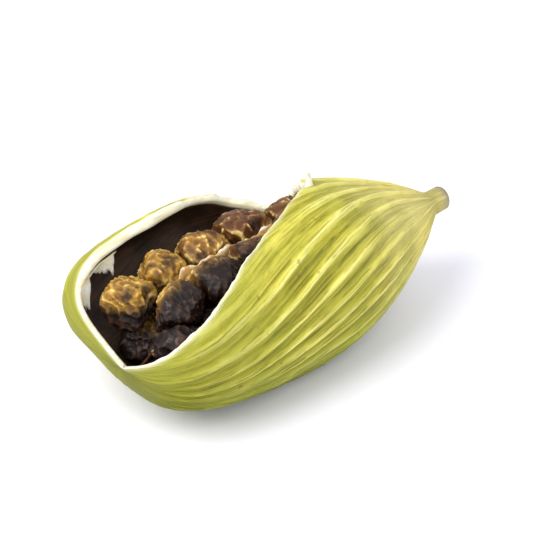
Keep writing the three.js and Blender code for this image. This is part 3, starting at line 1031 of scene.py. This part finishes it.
def make_lip_scraps():
    """Flaps of uneven height with torn ends, which lean inwards and hang down."""
    draw = np.random.default_rng(SCRAP_DRAW)
    shares = np.linspace(*SCRAP_SHARES, SCRAP_ROWS)
    far = opening_edges(shares)[0] - SCRAP_TURN
    root = pod_point(shares, far, -SCRAP_ROOT * WALL)
    inward = root * (0, -1, -1)
    inward = inward / np.linalg.norm(inward, axis=1, keepdims=True)
    upward = np.stack([0 * shares, -inward[:, 2], inward[:, 1]], -1) * np.array((1, -1, -1))
    flaps = np.clip(0.25 + 0.9 * ragged_line(shares, draw, (75, 130)), 0, 1) ** 0.6
    torn = 1 + 0.25 * ragged_line(shares, draw, (330, 560, 800))
    height = SCRAP_LEAST + SCRAP_HEIGHT * flaps * torn
    along, rise = np.meshgrid(shares, np.linspace(0, 1, SCRAP_COLUMNS), indexing="ij")
    stand = 0.55 + 0.35 * ragged_line(shares, draw, (50, 90))
    way = stand[:, None] * inward - 0.7 * upward
    middle = root[:, None] + (height[:, None] * rise)[..., None] * way[:, None]
    crumple = SCRAP_CRUMPLE * rise * waves(along, rise * 2, draw, 6, (1, 4), (60, 200))
    middle = middle + crumple[..., None] * np.array((1, 0.4, 0.4))
    points, faces = thin_sheet(middle, SCRAP_THICKNESS + 0 * rise)
    return as_piece(mesh_object("lip_scraps", points, faces, (CUT_EDGE,)), ["husk"])


# The seeds: angular cells pressed flat against each other, against the membranes and against the lining
SEED_FINENESS = 5
SEED_HARDNESS = 26
SEED_CLEAR = 0.14
SEED_FACETS = 8
SEED_WRINKLE = 0.1
SEED_FINE_WRINKLE = 0.04
SEED_LUMP = 0.015
SEED_SHIFT = 0.02
SEED_SHRINKING = 0.6
SEED_LENGTH_SHARE = 0.62
SEED_THICKNESS_SHARE = 0.64
FACET_DISTANCE = (1.12, 1.42)
# Faces turned this way, up towards the lamps, get the golden pulp: painted light
PULP_PAINTED_LIGHT_SIDE = np.array((-0.2, 0.2, 0.96))


def unit_ball():
    """Directions and faces of an even ball, from which every seed is shaped."""
    ball = bmesh.new()
    bmesh.ops.create_icosphere(ball, subdivisions=SEED_FINENESS, radius=1)
    directions = np.array([v.co.normalized() for v in ball.verts])
    faces = [[v.index for v in f.verts] for f in ball.faces]
    ball.free()
    return directions, faces


def seed_centres(degrees):
    """Places and sizes of a chamber's seeds, in two staggered rows."""
    centres, sizes = [], []
    for i in range(SEED_STATIONS):
        for row in (-1, 1):
            even = min(max(i / (SEED_STATIONS - 1) + SEED_STAGGER * row, 0), 1)
            share = np.array(SEED_FIRST + (SEED_LAST - SEED_FIRST) * even)
            angle = math.radians(degrees + SEED_ROW_ANGLE * row)
            out = SEED_DEPTH * float(lining_reach(share, angle))
            centres.append((LENGTH * (0.5 - share), out * math.cos(angle), out * math.sin(angle)))
            sizes.append(min(max(float(half_width(share, BELLY_BLUNTNESS)), SEED_LEAST), 1))
    return np.array(centres), np.array(sizes)


def ball_noise(directions, draw, count, low, high):
    """Smooth unevenness over a ball, about -1 to 1."""
    total = np.zeros(len(directions))
    for _ in range(count):
        axis = draw.normal(size=3)
        axis *= draw.uniform(low, high) / np.linalg.norm(axis)
        total += np.sin(directions @ axis + draw.uniform(0, 2 * np.pi))
    return total / math.sqrt(count)


def seed_limits(index, centres, size, degrees, draw):
    """Flat faces of a seed as directions and distances, where neighbours, membranes and lining press."""
    centre = centres[index]
    limits = []
    for place in np.delete(centres, index, axis=0):
        gap = np.linalg.norm(place - centre)
        limits.append(((place - centre) / gap, gap / 2))
    for turn in (-60, 60):
        square = math.radians(degrees + turn + math.copysign(90, turn))
        normal = np.array([0, math.cos(square), math.sin(square)])
        limits.append((normal, max(-normal @ centre - SEED_CLEAR, 0.3)))
    away = np.linalg.norm(centre[1:])
    outward = np.array([0, centre[1], centre[2]]) / away
    limits.append((outward, max(away * (1 / SEED_DEPTH - 1) - SEED_CLEAR, 0.4)))
    for _ in range(SEED_FACETS):
        normal = draw.normal(size=3)
        distance = draw.uniform(*FACET_DISTANCE) * size**SEED_SHRINKING
        limits.append((normal / np.linalg.norm(normal), distance))
    return limits


def seed_reach(directions, size, limits):
    """How far a seed reaches each way: a ball flattened by its limits, with edges a little rounded."""
    long = SEED_LENGTH * SEED_LENGTH_SHARE
    thick = SEED_THICKNESS * SEED_THICKNESS_SHARE
    axes = np.array([long, thick, thick]) * size**SEED_SHRINKING
    total = np.linalg.norm(directions / axes, axis=1) ** SEED_HARDNESS
    for normal, distance in limits:
        total += np.maximum(directions @ normal / distance, 0) ** SEED_HARDNESS
    return total ** (-1 / SEED_HARDNESS)


def ridges(directions, draw, low, high):
    """A net of narrow ridges over a ball, from 0 between them to about 1 along them."""
    return np.clip(1 - np.abs(ball_noise(directions * (1.5, 1, 1), draw, 10, low, high)), 0, 1)


def pulp_and_painted_light_cover(shape, directions, side):
    """Where golden colour covers a bunch, partly dried pulp and partly painted light on faces turned up: on
    top of far seeds, and by the membrane on near ones.
    """
    angle = np.degrees(np.arctan2(shape[:, 2], shape[:, 1]))
    # Painted light: golden only on faces turned up towards the lamps
    top = smoothstep(-0.1, 0.6, directions @ PULP_PAINTED_LIGHT_SIDE)
    if side == "far":
        return smoothstep(-8, 18, angle) * top
    if side == "near":
        return smoothstep(100, 80, angle) * top
    return 0 * angle


def make_seed_bunch(side, degrees, directions, ball_faces, draw):
    """A chamber's seeds with the tone, the film of pulp and the wrinkles of each."""
    points, faces, tones, pulp_and_light_list, folds = [], [], [], [], []
    centres, sizes = seed_centres(degrees)
    for index, size in enumerate(sizes):
        limits = seed_limits(index, centres, size, degrees, draw)
        reach = seed_reach(directions, size, limits)
        coarse = ridges(directions, draw, 8, 14)
        fine = ridges(directions, draw, 19, 28)
        lumps = ball_noise(directions, draw, 6, 2, 4)
        fold = coarse**2 * SEED_WRINKLE + fine**2 * SEED_FINE_WRINKLE
        reach = reach * (1 + SEED_LUMP * lumps) + fold - SEED_WRINKLE - SEED_FINE_WRINKLE
        shape = centres[index] + draw.normal(0, SEED_SHIFT, 3) + directions * reach[:, None]
        start = len(points)
        points.extend(shape)
        faces.extend([[start + corner for corner in corners] for corners in ball_faces])
        share = 0.5 - centres[index, 0] / LENGTH
        browner = smoothstep(0.9, 0.45, share) * 0.8
        tones.extend(np.full(len(directions), browner + draw.uniform(0, 0.25)))
        folds.extend(np.clip(0.65 * coarse**2 + 0.35 * fine**2, 0, 1))
        pulp_and_light_list.extend(pulp_and_painted_light_cover(shape, directions, side) * draw.uniform(0.8, 1.0))
    bunch = mesh_object(f"{side}_seed_bunch", points, faces, (SEED_COAT,))
    set_attribute(bunch, "seed_tone", tones)
    set_attribute(bunch, "pulp_film_and_painted_light", pulp_and_light_list)
    set_attribute(bunch, "fold", folds)
    return as_piece(bunch, [f"seeds_{side}"])


def make_camera():
    data = bpy.data.cameras.new("camera")
    data.lens = CAMERA_LENS
    data.sensor_width = CAMERA_SENSOR
    camera = bpy.data.objects.new("camera", data)
    bpy.context.scene.collection.objects.link(camera)
    low, high = cad_box
    target = (low + high) / 2
    back = Vector((
        math.sin(CAMERA_AZIMUTH) * math.cos(CAMERA_ELEVATION),
        -math.cos(CAMERA_AZIMUTH) * math.cos(CAMERA_ELEVATION),
        math.sin(CAMERA_ELEVATION),
    ))
    distance = FRAME_WIDTH * CAMERA_LENS / CAMERA_SENSOR
    camera.location = target + back * distance
    camera.rotation_euler = (-back).to_track_quat("-Z", "Y").to_euler()
    data.clip_start = distance / 100
    data.clip_end = distance * 100
    bpy.context.scene.camera = camera
    return camera


def make_floor():
    """Plain pale floor with a faint grain."""
    material, tree, shader = new_material("pale_floor")
    place = tree.nodes.new("ShaderNodeTexCoord").outputs["Object"]
    cloud = place_group(tree, MOTTLE, {"Place": place, "Scale": 60.0, "Low": 0.3, "High": 0.7})["Mask"]
    colour = mix_colour(tree, cloud, FLOOR_PALE, FLOOR_SHADE)
    tree.links.new(colour, shader.inputs["Base Color"])
    shader.inputs["Roughness"].default_value = 0.8
    mesh = bpy.data.meshes.new("floor")
    corners = [(x * FLOOR_HALF, y * FLOOR_HALF, 0) for x, y in ((-1, -1), (1, -1), (1, 1), (-1, 1))]
    mesh.from_pydata(corners, [], [(0, 1, 2, 3)])
    mesh.materials.append(material)
    floor = bpy.data.objects.new("floor", mesh)
    bpy.context.scene.collection.objects.link(floor)


def make_light(name, away, up, sideways, size, power, colour):
    """A soft panel that faces the pod, placed as seen from the camera: away, up and to the right."""
    data = bpy.data.lights.new(name, "AREA")
    data.shape = "DISK"
    data.size = size
    data.energy = power
    data.color = colour
    light = bpy.data.objects.new(name, data)
    bpy.context.scene.collection.objects.link(light)
    right = Vector((math.cos(CAMERA_AZIMUTH), math.sin(CAMERA_AZIMUTH), 0))
    ahead = Vector((-math.sin(CAMERA_AZIMUTH), math.cos(CAMERA_AZIMUTH), 0))
    light.location = right * sideways + ahead * away + Vector((0, 0, up))
    light.rotation_euler = (-light.location).to_track_quat("-Z", "Y").to_euler()


def make_studio():
    make_light("key", away=-0.1, up=0.2, sideways=-0.14, size=0.2, power=0.6, colour=KEY_COLOUR)
    make_light("fill", away=-0.16, up=0.18, sideways=0.1, size=0.2, power=0.2, colour=FILL_COLOUR)
    world = bpy.data.worlds.new("studio")
    world.use_nodes = True
    background = world.node_tree.nodes["Background"]
    background.inputs["Color"].default_value = SKY_COLOUR
    background.inputs["Strength"].default_value = SKY_STRENGTH
    bpy.context.scene.world = world
    bpy.context.scene.view_settings.view_transform = "Standard"


make_camera()
make_floor()
make_studio()
make_husk()
make_membranes()
make_torn_spur()
make_lip_scraps()
ball_directions, ball_faces = unit_ball()
seed_draw = np.random.default_rng(SEED_DRAW)
for chamber, degrees in CHAMBERS.items():
    make_seed_bunch(chamber, degrees, ball_directions, ball_faces, seed_draw)
